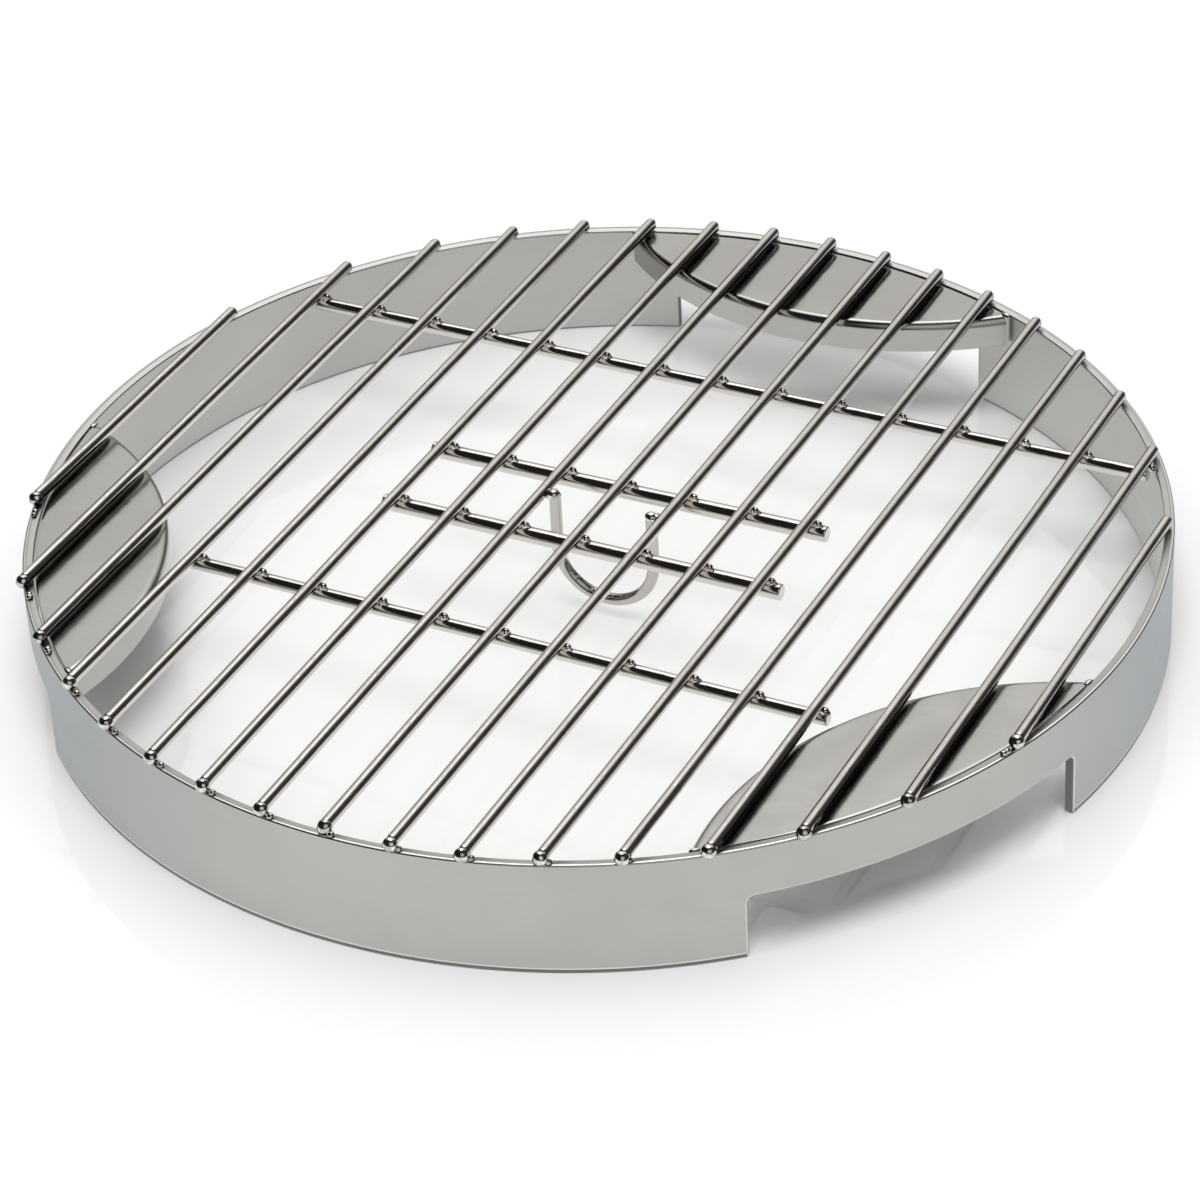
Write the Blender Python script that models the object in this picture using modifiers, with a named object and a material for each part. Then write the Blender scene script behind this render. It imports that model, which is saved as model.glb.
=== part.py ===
"""Round welded grill grate.

A flat steel strip is rolled into a ring that stands on its edge.  Parallel rods lie across the
top edge, four cross rods tie them from below, and a wire loop for a lifting hook hangs in the
middle.  Three notches in the lower edge let the ring sit over the legs of a fire stand, and
a dished shelf covers each notch on the inside.

Metres, +Z up.  The origin is the middle of the ring on the surface that it stands on, and the top
rods run along Y.
"""

import math
from collections import namedtuple

import bmesh
import bpy

# Rolled band
RING_RADIUS = 0.1625          # outer face
BAND_HEIGHT = 0.035
BAND_WALL = 0.003
BAND_EDGE_ROUND = 0.0005      # both edges are dressed
BAND_STEPS = 120

# Notches in the lower edge, one over each leg of the stand
NOTCH_COUNT = 3
NOTCH_HEIGHT = 0.0195
NOTCH_ANGLE = math.radians(37.4)
NOTCH_CORNER = 0.0025
FIRST_NOTCH = math.radians(88.5)   # direction of the far notch, seen from above

# Top rods: even bays from the middle rod outward, then one last bay to the outermost rod
ROD_DIAMETER = 0.0035
ROD_PITCH = 0.019
ROD_SHIFT = 0.0016            # the even bays are welded on this far right of the ring's middle
OUTERMOST_ROD_INSET = 0.0117  # its axis, from the band's outer face
LAST_BAY_LEAST = 0.008        # a last bay that would be narrower joins its neighbour
ROD_SIDES = 20

# Cross rods below the top rods, each welded on a little askew.  Bays are counted from the middle
# rod to each side, and a rod with none given reaches as many as the band and the shelves leave
# room for.
CrossRod = namedtuple("CrossRod", "name along skew diameter overhang bays")
CROSS_RODS = (
    CrossRod("cross_rod_far", 0.0773, math.radians(1.2), 0.0040, 0.0012, None),
    CrossRod("cross_rod_middle_far", 0.0161, math.radians(1.3), 0.0047, 0.0050, 3),
    CrossRod("cross_rod_middle_near", -0.0144, math.radians(0.8), 0.0047, 0.0050, 3),
    CrossRod("cross_rod_near", -0.0635, math.radians(0.2), 0.0040, 0.0030, None),
)
CROSS_ROD_CLEARANCE = 0.0006  # to the band and to the flanges of the shelves

# Every rod is cut square and its end is rounded off
ROD_END_ROUND = 0.0008
ROD_END_INSET = 0.0003        # from the band's outer face

# Dished shelves over the notches
SHEET = 0.0015
SHELF_ARC_RADIUS = 0.098      # of the bulging inner edge
SHELF_REACH = 0.038           # from the band's inner face to the top of the bulge
SHELF_TOP_DROP = 0.0015       # below the band's top edge
FLANGE_DEPTH = 0.0095
FLANGE_INSIDE_BEND = 0.0009
SHELF_CLEARANCE = 0.0005      # to the band's inner face, bridged by the corner welds
SHELF_STEPS = 144

# Wire loop between the two middle cross rods
LOOP_WIRE = 0.0035
LOOP_FLOOR_CLEARANCE = 0.0035
LOOP_TOP_PROUD = 0.0006       # above the axis of the top rods
LOOP_BAYS = 1                 # rods between the middle rod and each leg
LOOP_ARC_POINTS = 20
LOOP_BEVEL_RESOLUTION = 6

# Welded pieces keep this gap, so that each stays a solid of its own
WELD_GAP = 0.0003

CUT_MARGIN = 0.004            # how far a cutter runs past what it cuts

INNER_RADIUS = RING_RADIUS - BAND_WALL
ROD_AXIS_HEIGHT = BAND_HEIGHT + WELD_GAP + ROD_DIAMETER / 2
ROD_UNDERSIDE = ROD_AXIS_HEIGHT - ROD_DIAMETER / 2
OUTERMOST_PLACE = RING_RADIUS - OUTERMOST_ROD_INSET
EVEN_BAYS = math.floor((OUTERMOST_PLACE - LAST_BAY_LEAST - abs(ROD_SHIFT)) / ROD_PITCH)
MIDDLE_ROD = EVEN_BAYS + 2
ROD_COUNT = 2 * MIDDLE_ROD - 1


def clear_scene():
    """Remove whatever objects the file opened with."""
    for obj in list(bpy.data.objects):
        bpy.data.objects.remove(obj, do_unlink=True)


def new_collection(name):
    """A collection linked to the scene."""
    collection = bpy.data.collections.new(name)
    bpy.context.scene.collection.children.link(collection)
    return collection


def new_metal(name, colour, roughness):
    """A bare metal with one colour and one roughness."""
    metal = bpy.data.materials.new(name)
    metal.use_nodes = True
    shader = metal.node_tree.nodes["Principled BSDF"]
    shader.inputs["Base Color"].default_value = (*colour, 1.0)
    shader.inputs["Metallic"].default_value = 1.0
    shader.inputs["Roughness"].default_value = roughness
    return metal


def file_under(obj, collection):
    """Keep an object in one collection only."""
    for other in list(obj.users_collection):
        other.objects.unlink(obj)
    collection.objects.link(obj)


def finish_part(obj, name, metal, parts, frame):
    """Name a piece, give it its metal and hang it on the grate's frame."""
    obj.name = name
    obj.data.name = name
    obj.data.materials.clear()
    obj.data.materials.append(metal)
    file_under(obj, parts)
    obj.parent = frame
    return obj


def make_cutter(obj, name, cutters):
    """Set an object aside as a cutter."""
    obj.name = name
    obj.hide_render = True
    obj.display_type = "WIRE"
    file_under(obj, cutters)
    return obj


def arc(centre_x, centre_z, radius, start, end, segments):
    """Points on an arc in the XZ plane, from one angle to another in degrees."""
    points = []
    for step in range(segments + 1):
        angle = math.radians(start + (end - start) * step / segments)
        points.append((centre_x + radius * math.cos(angle), centre_z + radius * math.sin(angle)))
    return points


def profile_object(name, points, closed):
    """A wire outline in the XZ plane, ready to be turned about Z."""
    mesh = bpy.data.meshes.new(name)
    vertices = [(x, 0.0, z) for x, z in points]
    edges = [(i, i + 1) for i in range(len(points) - 1)]
    if closed:
        edges.append((len(points) - 1, 0))
    mesh.from_pydata(vertices, edges, [])
    obj = bpy.data.objects.new(name, mesh)
    bpy.context.scene.collection.objects.link(obj)
    return obj


def turn(obj, steps):
    """Turn an outline about its own Z axis."""
    screw = obj.modifiers.new("turn", "SCREW")
    screw.axis = "Z"
    screw.angle = math.tau
    screw.steps = steps
    screw.render_steps = steps
    screw.use_merge_vertices = True
    screw.merge_threshold = 0.00001
    screw.use_smooth_shade = True
    return screw


def cut(obj, cutter, operation):
    """Cut a piece with a cutter, or keep only what lies inside it."""
    boolean = obj.modifiers.new(cutter.name, "BOOLEAN")
    boolean.operation = operation
    boolean.solver = "EXACT"
    boolean.object = cutter
    return boolean


def notch_direction(index):
    """Direction of one notch and of the shelf over it."""
    return FIRST_NOTCH + math.tau * index / NOTCH_COUNT


def notch_cutter(index, cutters):
    """A block that follows the band's curve, with its two upper corners rounded."""
    inner = INNER_RADIUS - CUT_MARGIN
    outer = RING_RADIUS + CUT_MARGIN
    bottom = -CUT_MARGIN
    start = notch_direction(index) - NOTCH_ANGLE / 2
    steps = round(BAND_STEPS * NOTCH_ANGLE / math.tau)

    outline = bmesh.new()
    corners = ((inner, bottom), (outer, bottom), (outer, NOTCH_HEIGHT), (inner, NOTCH_HEIGHT))
    section = [outline.verts.new((r * math.cos(start), r * math.sin(start), z)) for r, z in corners]
    face = outline.faces.new(section)
    bmesh.ops.spin(
        outline, geom=[face], cent=(0.0, 0.0, 0.0), axis=(0.0, 0.0, 1.0), angle=NOTCH_ANGLE, steps=steps
    )
    bmesh.ops.recalc_face_normals(outline, faces=outline.faces)

    def is_upper_corner(edge):
        """The two edges that run outward at the top of the block's ends."""
        on_top = all(abs(vertex.co.z - NOTCH_HEIGHT) < 1e-6 for vertex in edge.verts)
        runs_outward = edge.calc_length() > (outer - inner) * 0.9
        return on_top and runs_outward and edge.calc_face_angle(0.0) > math.radians(60)

    corners = [edge for edge in outline.edges if is_upper_corner(edge)]
    bmesh.ops.bevel(outline, geom=corners, offset=NOTCH_CORNER, segments=4, profile=0.5, affect="EDGES")

    mesh = bpy.data.meshes.new(f"notch_cutter_{index + 1}")
    outline.to_mesh(mesh)
    outline.free()
    obj = bpy.data.objects.new(mesh.name, mesh)
    bpy.context.scene.collection.objects.link(obj)
    return make_cutter(obj, mesh.name, cutters)


def make_band(metal, parts, cutters, frame):
    """The rolled band, a rounded flat section turned into a ring, with its notches."""
    edge = BAND_EDGE_ROUND
    outer = RING_RADIUS - edge
    inner = INNER_RADIUS + edge
    top = BAND_HEIGHT - edge
    outline = (
        arc(outer, top, edge, 90, 0, 2)
        + arc(outer, edge, edge, 0, -90, 2)
        + arc(inner, edge, edge, -90, -180, 2)
        + arc(inner, top, edge, 180, 90, 2)
    )
    band = profile_object("rim_band", outline, closed=True)
    turn(band, BAND_STEPS)
    for index in range(NOTCH_COUNT):
        cut(band, notch_cutter(index, cutters), "DIFFERENCE")
    return finish_part(band, "rim_band", metal, parts, frame)


def rod_place(number):
    """Place of a top rod across the grate, counted from the left."""
    bay = number - MIDDLE_ROD
    if abs(bay) <= EVEN_BAYS:
        return ROD_SHIFT + bay * ROD_PITCH
    return math.copysign(OUTERMOST_PLACE, bay)


def half_chord(radius, offset):
    """Half of the chord that lies at an offset from a circle's middle."""
    return math.sqrt(radius ** 2 - offset ** 2)


def rod_length(place):
    """A top rod reaches the band's outer face with the corner of its square-cut ends."""
    return 2 * half_chord(RING_RADIUS - ROD_END_INSET, abs(place) + ROD_DIAMETER / 2)


def straight_rod(diameter, length, direction):
    """A round bar along X or Y with rounded ends, centred on its own origin."""
    bpy.ops.mesh.primitive_cylinder_add(vertices=ROD_SIDES, radius=diameter / 2, depth=length)
    rod = bpy.context.active_object
    rod.rotation_euler = (math.pi / 2, 0.0, 0.0) if direction == "Y" else (0.0, math.pi / 2, 0.0)
    rod.data.shade_smooth()
    rod.data.set_sharp_from_angle(angle=math.radians(50))
    rounding = rod.modifiers.new("rounded_ends", "BEVEL")
    rounding.width = ROD_END_ROUND
    rounding.segments = 2
    rounding.limit_method = "ANGLE"
    rounding.angle_limit = math.radians(50)
    return rod


def make_top_rods(metal, parts, frame):
    """The parallel rods that rest on the band's top edge."""
    for number in range(1, ROD_COUNT + 1):
        place = rod_place(number)
        rod = straight_rod(ROD_DIAMETER, rod_length(place), "Y")
        rod.location = (place, 0.0, ROD_AXIS_HEIGHT)
        finish_part(rod, f"grate_rod_{number:02d}", metal, parts, frame)


def cross_rod_reach(spec, bays):
    """Half of the length of a cross rod that spans some bays on each side of the middle rod."""
    return bays * ROD_PITCH + spec.overhang


def ends_are_free(spec, bays):
    """Whether both ends of a cross rod stay clear of the band and of the flanges of the shelves."""
    reach = cross_rod_reach(spec, bays)
    radius = spec.diameter / 2
    flange = SHELF_ARC_RADIUS + radius + CROSS_ROD_CLEARANCE
    for side in (-1, 1):
        x = ROD_SHIFT + side * reach * math.cos(spec.skew)
        y = spec.along + side * reach * math.sin(spec.skew)
        if math.hypot(x, abs(y) + radius) > INNER_RADIUS - CROSS_ROD_CLEARANCE:
            return False
        if any(math.dist((x, y), shelf_axis(index)) < flange for index in range(NOTCH_COUNT)):
            return False
    return True


def bays_spanned(spec):
    """Bays that a cross rod spans on each side of the middle rod."""
    if spec.bays:
        return spec.bays
    return max(bays for bays in range(EVEN_BAYS + 1) if ends_are_free(spec, bays))


def make_cross_rods(metal, parts, frame):
    """Heavier rods welded across the underside of the top rods."""
    for spec in CROSS_RODS:
        reach = cross_rod_reach(spec, bays_spanned(spec))
        rod = straight_rod(spec.diameter, 2 * reach, "X")
        rod.rotation_euler.z = spec.skew
        rod.location = (ROD_SHIFT, spec.along, ROD_UNDERSIDE - WELD_GAP - spec.diameter / 2)
        finish_part(rod, spec.name, metal, parts, frame)


def shelf_axis(index):
    """Plan position of the axis of the pan that a shelf is cut from."""
    distance = INNER_RADIUS - SHELF_REACH + SHELF_ARC_RADIUS
    direction = notch_direction(index)
    return distance * math.cos(direction), distance * math.sin(direction)


def shelf_outline():
    """Section of a shallow inverted pan, from its axis out over the bend and down the flange."""
    rim = SHELF_ARC_RADIUS
    bend = FLANGE_INSIDE_BEND + SHEET
    over = arc(rim - bend, -bend, bend, 90, 0, 4)
    under = arc(rim - bend, -bend, FLANGE_INSIDE_BEND, 0, 90, 4)
    lip = [(rim, -FLANGE_DEPTH), (rim - SHEET, -FLANGE_DEPTH)]
    return [(0.0, 0.0)] + over + lip + under + [(0.0, -SHEET)]


def make_shelves(metal, parts, cutters, frame):
    """Three shelves, each the part of a dished pan that fits inside the band."""
    bpy.ops.mesh.primitive_cylinder_add(
        vertices=BAND_STEPS, radius=INNER_RADIUS - SHELF_CLEARANCE, depth=BAND_HEIGHT,
        location=(0.0, 0.0, BAND_HEIGHT / 2),
    )
    inside = make_cutter(bpy.context.active_object, "inside_of_band", cutters)
    for index in range(NOTCH_COUNT):
        shelf = profile_object("shelf", shelf_outline(), closed=False)
        shelf.location = (*shelf_axis(index), BAND_HEIGHT - SHELF_TOP_DROP)
        turn(shelf, SHELF_STEPS)
        cut(shelf, inside, "INTERSECT")
        finish_part(shelf, f"notch_shelf_{index + 1}", metal, parts, frame)


def loop_path():
    """Centre line of the wire loop: down one leg, round the bottom and up the other leg."""
    beside = LOOP_BAYS * ROD_PITCH - ROD_DIAMETER / 2 - WELD_GAP - LOOP_WIRE / 2
    bottom = LOOP_FLOOR_CLEARANCE + LOOP_WIRE / 2
    top = ROD_AXIS_HEIGHT + LOOP_TOP_PROUD
    bend = arc(0.0, bottom + beside, beside, 180, 360, LOOP_ARC_POINTS)
    return [(-beside, top)] + bend + [(beside, top)]


def make_loop(metal, parts, frame):
    """The lifting loop, in a plane along the cross rods midway between the middle pair."""
    curve = bpy.data.curves.new("lifting_loop", "CURVE")
    curve.dimensions = "3D"
    curve.bevel_depth = LOOP_WIRE / 2
    curve.bevel_resolution = LOOP_BEVEL_RESOLUTION
    curve.use_fill_caps = True
    path = loop_path()
    spline = curve.splines.new("POLY")
    spline.points.add(len(path) - 1)
    for point, (x, z) in zip(spline.points, path):
        point.co = (x, 0.0, z, 1.0)
    loop = bpy.data.objects.new("lifting_loop", curve)
    bpy.context.scene.collection.objects.link(loop)
    middle_pair = [spec.along for spec in CROSS_RODS if "middle" in spec.name]
    loop.location = (ROD_SHIFT, sum(middle_pair) / len(middle_pair), 0.0)
    finish_part(loop, "lifting_loop", metal, parts, frame)


def build_grate():
    """Model the whole grate."""
    clear_scene()
    parts = new_collection("grill_grate")
    cutters = new_collection("cutters")
    frame = bpy.data.objects.new("grate_frame", None)
    parts.objects.link(frame)

    brushed_band = new_metal("brushed_band_steel", (0.47, 0.47, 0.45), 0.34)
    plated_rod = new_metal("plated_rod_steel", (0.58, 0.56, 0.51), 0.16)
    shelf_sheet = new_metal("satin_shelf_sheet", (0.50, 0.50, 0.48), 0.22)

    make_band(brushed_band, parts, cutters, frame)
    make_top_rods(plated_rod, parts, frame)
    make_cross_rods(plated_rod, parts, frame)
    make_shelves(shelf_sheet, parts, cutters, frame)
    make_loop(plated_rod, parts, frame)


build_grate()
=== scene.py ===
"""Round welded grill grate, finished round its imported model.

A rolled steel band stands on its edge and carries seventeen plated rods.  Four cross rods tie the
rods from below, a wire loop hangs in the middle, and a dished shelf covers each notch of the band.
Every crossing and every rod end has its weld nugget.

Metres, +Z up.  The top rods run along Y and the cross rods along X.
"""

import math
import random

import bmesh
import bpy
from bpy.props import FloatProperty, FloatVectorProperty, IntProperty, PointerProperty
from mathutils import Matrix, Vector, noise


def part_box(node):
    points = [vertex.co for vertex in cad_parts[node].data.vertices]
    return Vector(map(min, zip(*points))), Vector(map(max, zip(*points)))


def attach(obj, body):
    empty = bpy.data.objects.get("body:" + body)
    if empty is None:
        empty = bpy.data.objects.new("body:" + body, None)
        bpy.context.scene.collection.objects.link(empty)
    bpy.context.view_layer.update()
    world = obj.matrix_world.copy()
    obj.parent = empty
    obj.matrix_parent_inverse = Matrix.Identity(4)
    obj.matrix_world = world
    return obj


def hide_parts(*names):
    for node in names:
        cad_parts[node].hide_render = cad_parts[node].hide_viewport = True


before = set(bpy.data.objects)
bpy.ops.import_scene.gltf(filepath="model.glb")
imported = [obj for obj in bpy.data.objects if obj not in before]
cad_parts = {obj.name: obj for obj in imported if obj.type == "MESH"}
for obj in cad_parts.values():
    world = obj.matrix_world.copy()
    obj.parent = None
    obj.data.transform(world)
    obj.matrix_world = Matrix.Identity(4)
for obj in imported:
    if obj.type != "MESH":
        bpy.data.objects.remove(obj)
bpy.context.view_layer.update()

bl_info = {
    "name": "Grill grate",
    "version": (1, 0, 0),
    "blender": (4, 5, 0),
    "location": "3D View > Sidebar > Grate",
    "description": "A round welded grill grate and the studio that it stands in",
    "category": "Add Mesh",
}

MM = 0.001
BODY = "root"
TOP_RODS = sorted(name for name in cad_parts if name.startswith("grate_rod_"))
CROSS_RODS = sorted(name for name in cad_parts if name.startswith("cross_rod_"))
SHELVES = sorted(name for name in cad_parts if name.startswith("notch_shelf_"))

RING_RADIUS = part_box("rim_band")[1].x
BAND_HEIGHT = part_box("rim_band")[1].z
INNER_RADIUS = min(math.hypot(v.co.x, v.co.y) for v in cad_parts["rim_band"].data.vertices)
SHELF_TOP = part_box(SHELVES[0])[1].z
SHELF_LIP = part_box(SHELVES[0])[0].z
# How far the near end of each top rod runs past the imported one, in mm, from left to right
NEAR_REACH = (4.0, 4.0, 2.8, 1.8, 1.8, 1.8, 1.2, 1.0, 0.2, 1.0, 1.6, 1.2, 2.2, 3.6, 4.2, 5.6, 4.0)
# How far the weld ball at the near end covers the rod's own end
BALL_COVER = 1.2 * MM
# Distance from the ring's middle at which the shelves are cut off, just clear of the band
SHELF_LIMIT = INNER_RADIUS - 0.5 * MM
UP = Vector((0.0, 0.0, 1.0))


# Sizes, finishes and studio that a user would change

class GrateSizes(bpy.types.PropertyGroup):
    """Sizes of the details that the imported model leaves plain."""
    band_edge: FloatProperty(
        name="Band edge", description="Rounding of the band's dressed edges",
        default=0.5 * MM, min=0.1 * MM, max=1.0 * MM, unit="LENGTH", precision=5)
    band_foot: FloatProperty(
        name="Band foot", description="Rounding of the band's lower edge, which stands on the floor",
        default=0.8 * MM, min=0.1 * MM, max=1.0 * MM, unit="LENGTH", precision=5)
    notch_direction: FloatProperty(
        name="Far notch", description="Direction of the far notch, seen from above",
        default=math.radians(88.5), unit="ROTATION")
    notch_angle: FloatProperty(
        name="Notch width", description="Angle that one notch spans",
        default=math.radians(37.4), unit="ROTATION")
    notch_height: FloatProperty(
        name="Notch height", description="Height of a notch above the lower edge",
        default=19.5 * MM, unit="LENGTH", precision=5)
    notch_corner: FloatProperty(
        name="Notch corner", description="Radius of a notch's two upper corners",
        default=2.3 * MM, unit="LENGTH", precision=5)
    shelf_radius: FloatProperty(
        name="Shelf curve", description="Radius of the bulging edge of a shelf",
        default=98.0 * MM, unit="LENGTH", precision=5)
    shelf_reach: FloatProperty(
        name="Shelf reach", description="From the band's inner face to the top of the bulge",
        default=38.0 * MM, unit="LENGTH", precision=5)
    shelf_rise: FloatProperty(
        name="Shelf rise", description="How much nearer to the rods a shelf lies than in the packed model",
        default=1.0 * MM, min=0.0, max=1.2 * MM, unit="LENGTH", precision=5)
    sheet: FloatProperty(
        name="Shelf sheet", description="Thickness of the shelves' sheet",
        default=1.5 * MM, unit="LENGTH", precision=5)
    rod_nose: FloatProperty(
        name="Rod nose", description="Rounding of the melted ends of the rods",
        default=1.5 * MM, unit="LENGTH", precision=5)
    wander: FloatProperty(
        name="Wander", description="How far a drawn wire strays from a straight line",
        default=0.10 * MM, unit="LENGTH", precision=5)
    wire_sides: IntProperty(
        name="Wire sides", description="Faces round a wire", default=40, min=12, max=96)
    nugget: FloatProperty(
        name="Weld nugget", description="Half the length of a weld nugget",
        default=1.2 * MM, unit="LENGTH", precision=5)


class GrateFinish(bpy.types.PropertyGroup):
    """Colours and gloss of the grate's metals."""
    band_colour: FloatVectorProperty(
        name="Band", description="Brushed steel of the rolled band",
        default=(0.525, 0.523, 0.505), subtype="COLOR", min=0.0, max=1.0)
    wire_colour: FloatVectorProperty(
        name="Wire", description="Bright plating of the rods and the loop",
        default=(0.69, 0.67, 0.63), subtype="COLOR", min=0.0, max=1.0)
    shelf_colour: FloatVectorProperty(
        name="Shelf", description="Semi-bright rolled sheet of the shelves",
        default=(0.468, 0.466, 0.450), subtype="COLOR", min=0.0, max=1.0)
    weld_colour: FloatVectorProperty(
        name="Weld", description="Plated weld nuggets",
        default=(0.86, 0.84, 0.81), subtype="COLOR", min=0.0, max=1.0)
    band_roughness: FloatProperty(
        name="Band roughness", description="Satin of the brushed band", default=0.36, subtype="FACTOR")
    wire_roughness: FloatProperty(
        name="Wire roughness", description="Gloss of the plated wire", default=0.12, subtype="FACTOR")
    shelf_roughness: FloatProperty(
        name="Shelf roughness", description="Gloss of the rolled sheet", default=0.19, subtype="FACTOR")


class GrateStudio(bpy.types.PropertyGroup):
    """Camera, floor and light of the studio."""
    azimuth: FloatProperty(
        name="Azimuth", description="Camera's turn from the near side to the right",
        default=0.488600, unit="ROTATION")
    elevation: FloatProperty(
        name="Elevation", description="Camera's height above the floor as an angle",
        default=0.602330, unit="ROTATION")
    roll: FloatProperty(
        name="Roll", description="Camera's turn about its own line of sight",
        default=-0.052892, unit="ROTATION")
    distance: FloatProperty(
        name="Distance", description="From the camera to the point that it looks at",
        default=1.26758, unit="LENGTH")
    lens: FloatProperty(name="Lens", description="Focal length", default=131.5727, unit="CAMERA")
    floor_colour: FloatVectorProperty(
        name="Floor", description="Colour of the floor",
        default=(0.90, 0.90, 0.90), subtype="COLOR", min=0.0, max=1.0)
    whiten: FloatProperty(
        name="Whiten", description="How far the floor inside the ring is lifted towards white",
        default=0.50, subtype="FACTOR")
    mirror_whiten: FloatProperty(
        name="Mirrored whiten", description="How far the floor is lifted towards white in the metal",
        default=0.60, subtype="FACTOR")
    fill: FloatProperty(
        name="Fill", description="Brightness of the soft light from overhead", default=1.26, min=0.0)
    key: FloatProperty(
        name="Key", description="Strength of the soft lamp above the camera", default=1.50, min=0.0)
    panel: FloatProperty(
        name="Panel", description="Brightness of the light panel that the metal mirrors",
        default=0.86, min=0.0)


# Node trees

def feed(tree, value, socket):
    """Link an output to a socket, or set the socket to a plain value."""
    if isinstance(value, bpy.types.NodeSocket):
        tree.links.new(value, socket)
    else:
        socket.default_value = value


def new_node(tree, kind, **settings):
    """Add a node; a setting that is no attribute of it feeds one of its inputs."""
    node = tree.nodes.new(kind)
    for key, value in settings.items():
        if hasattr(node, key):
            setattr(node, key, value)
        else:
            feed(tree, value, node.inputs[key])
    return node


def math_node(tree, operation, *values):
    """A Math node on sockets or numbers; returns its result."""
    node = new_node(tree, "ShaderNodeMath", operation=operation)
    for value, socket in zip(values, node.inputs):
        feed(tree, value, socket)
    return node.outputs[0]


def vector_math(tree, operation, first, second=None):
    """A Vector Math node on sockets or values; returns its result, a number where it measures."""
    node = new_node(tree, "ShaderNodeVectorMath", operation=operation)
    feed(tree, first, node.inputs[0])
    if second is not None:
        feed(tree, second, node.inputs["Scale" if operation == "SCALE" else 1])
    return node.outputs["Value" if operation in ("LENGTH", "DOT_PRODUCT") else "Vector"]


def ranged(tree, value, low, high, to_low=0.0, to_high=1.0, smooth=True):
    """Map a value from one range to another; returns the result."""
    node = new_node(tree, "ShaderNodeMapRange", interpolation_type="SMOOTHSTEP" if smooth else "LINEAR")
    ends = {"Value": value, "From Min": low, "From Max": high, "To Min": to_low, "To Max": to_high}
    for name, end in ends.items():
        feed(tree, end, node.inputs[name])
    return node.outputs["Result"]


def mixed(tree, mask, first, second):
    """Mix two colours by a mask, each of them a socket or a value; returns the result."""
    node = new_node(tree, "ShaderNodeMix", data_type="RGBA", Factor=mask)
    colour_a, colour_b, result = 6, 7, 2
    feed(tree, first, node.inputs[colour_a])
    feed(tree, second, node.inputs[colour_b])
    return node.outputs[result]


def new_group(name, inputs, output, kind="NodeSocketFloat"):
    """A node group with one output; returns it, the sockets that it is given and its result's socket."""
    group = bpy.data.node_groups.new(name, "ShaderNodeTree")
    for socket, socket_kind, default in inputs:
        made = group.interface.new_socket(name=socket, in_out="INPUT", socket_type=socket_kind)
        made.default_value = default
    group.interface.new_socket(name=output, in_out="OUTPUT", socket_type=kind)
    given, result = group.nodes.new("NodeGroupInput"), group.nodes.new("NodeGroupOutput")
    return group, given.outputs, result.inputs[output]


def drawn_lines_group():
    """Fine lines left by drawing, rolling or brushing, drawn out along the piece."""
    name = "drawn lines"
    if name in bpy.data.node_groups:
        return bpy.data.node_groups[name]
    group, given, result = new_group(
        name, [("Stretch", "NodeSocketVector", (1000.0, 20.0, 1000.0)), ("Ring", "NodeSocketFloat", 0.0)],
        "Lines")
    place = new_node(group, "ShaderNodeTexCoord").outputs["Object"]
    radius = vector_math(group, "LENGTH", vector_math(group, "MULTIPLY", place, (1.0, 1.0, 0.0)))
    lift = new_node(group, "ShaderNodeCombineXYZ", Z=math_node(group, "MULTIPLY", radius, given["Ring"]))
    stretched = vector_math(group, "MULTIPLY", place, given["Stretch"])
    moved = vector_math(group, "ADD", stretched, lift.outputs[0])
    grain = new_node(group, "ShaderNodeTexNoise", Vector=moved, Scale=1.0, Detail=4.0, Roughness=0.62)
    group.links.new(ranged(group, grain.outputs["Fac"], 0.3, 0.7, smooth=False), result)
    return group


def handling_group():
    """Cloudy marks of handling, rinsing and heat."""
    name = "handling marks"
    if name in bpy.data.node_groups:
        return bpy.data.node_groups[name]
    group, given, result = new_group(name, [("Size", "NodeSocketFloat", 60.0)], "Marks")
    place = new_node(group, "ShaderNodeTexCoord").outputs["Object"]
    cloud = new_node(
        group, "ShaderNodeTexNoise", Vector=place, Scale=given["Size"], Detail=3.0, Roughness=0.55,
        Distortion=0.6)
    group.links.new(ranged(group, cloud.outputs["Fac"], 0.34, 0.68), result)
    return group


def two_tones_group():
    """A metal's colour, shifted from one tone to another by a mask."""
    name = "two tones"
    if name in bpy.data.node_groups:
        return bpy.data.node_groups[name]
    group, given, result = new_group(
        name,
        [("Mask", "NodeSocketFloat", 0.5), ("First", "NodeSocketColor", (0.5, 0.5, 0.5, 1.0)),
         ("Second", "NodeSocketColor", (0.6, 0.6, 0.6, 1.0))],
        "Colour", "NodeSocketColor")
    group.links.new(mixed(group, given["Mask"], given["First"], given["Second"]), result)
    return group


def place_group(tree, group, **values):
    """Place a node group in a tree, fed with sockets or values; returns its result."""
    return new_node(tree, "ShaderNodeGroup", node_tree=group, **values).outputs[0]


def shade(colour, factor):
    """A colour made darker or lighter by a factor for each channel."""
    if isinstance(factor, (int, float)):
        factor = (factor, factor, factor)
    return tuple(min(1.0, part * by) for part, by in zip(colour, factor)) + (1.0,)


def two_tones(tree, mask, colour, first, second):
    """Two shades of a metal's colour, shared out by a mask; returns the result."""
    return place_group(
        tree, two_tones_group(), Mask=mask, First=shade(colour, first), Second=shade(colour, second))


def new_metal(name):
    """An empty metal material and the parts that its nodes hang on."""
    material = bpy.data.materials.new(name)
    material.use_nodes = True
    tree = material.node_tree
    shader = tree.nodes["Principled BSDF"]
    shader.inputs["Metallic"].default_value = 1.0
    return material, tree, shader


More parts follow.
